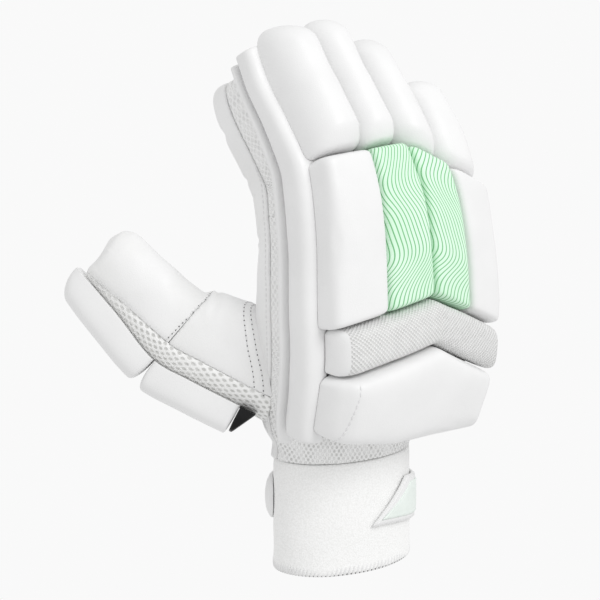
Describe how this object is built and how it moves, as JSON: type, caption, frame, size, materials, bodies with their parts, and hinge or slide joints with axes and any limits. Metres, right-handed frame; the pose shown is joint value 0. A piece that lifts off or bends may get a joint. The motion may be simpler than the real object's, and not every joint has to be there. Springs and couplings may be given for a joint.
{
  "type": "cricket batting glove",
  "caption": "Right-hand batting glove with padded finger rolls, a chevron pad over the knuckles, a mesh-sided thumb and a towelling cuff with a closing strap.",
  "frame": {"origin": "centre of the wrist opening at the cuff's lower rim", "axes": "+Z from the wrist to the fingertips, -Y out of the back of the hand, +X towards the little finger, the thumb towards -X and +Y"},
  "size_m": [0.1802, 0.151, 0.2684],
  "materials": {
    "leather": "satin white glove leather over foam",
    "palm_leather": "soft matt white leather",
    "spacer_mesh": "white knitted mesh with rows of small oval holes",
    "net_cloth": "white cloth with a raised net",
    "green_print": "satin leather printed with fine green waves on mint",
    "towelling": "white knitted towelling",
    "patch_cloth": "satin patch, faint pale green",
    "dark_foam": "dark bound end"
  },
  "bodies": {
    "root": {"wristband": "towelling", "wrist_strap": "leather", "strap_patch": "patch_cloth", "back_mesh": "spacer_mesh", "palm_leather": "palm_leather", "index_mesh": "spacer_mesh", "middle_mesh": "spacer_mesh", "ring_mesh": "spacer_mesh", "little_mesh": "spacer_mesh", "index_bar": "leather", "index_tip_roll": "leather", "middle_bar": "green_print", "middle_tip_roll": "leather", "ring_bar": "green_print", "ring_tip_roll": "leather", "little_bar": "leather", "little_tip_roll": "leather", "knuckle_band": "net_cloth", "wrist_pad": "leather", "index_side_roll": "leather", "index_side_welt": "leather", "little_side_roll": "leather", "thumb_base_leather": "palm_leather", "thumb_tip_leather": "palm_leather", "thumb_mesh": "spacer_mesh", "thumb_tip_roll": "leather", "thumb_base_roll": "leather", "thumb_roll_end": "dark_foam"}
  },
  "joints": []
}
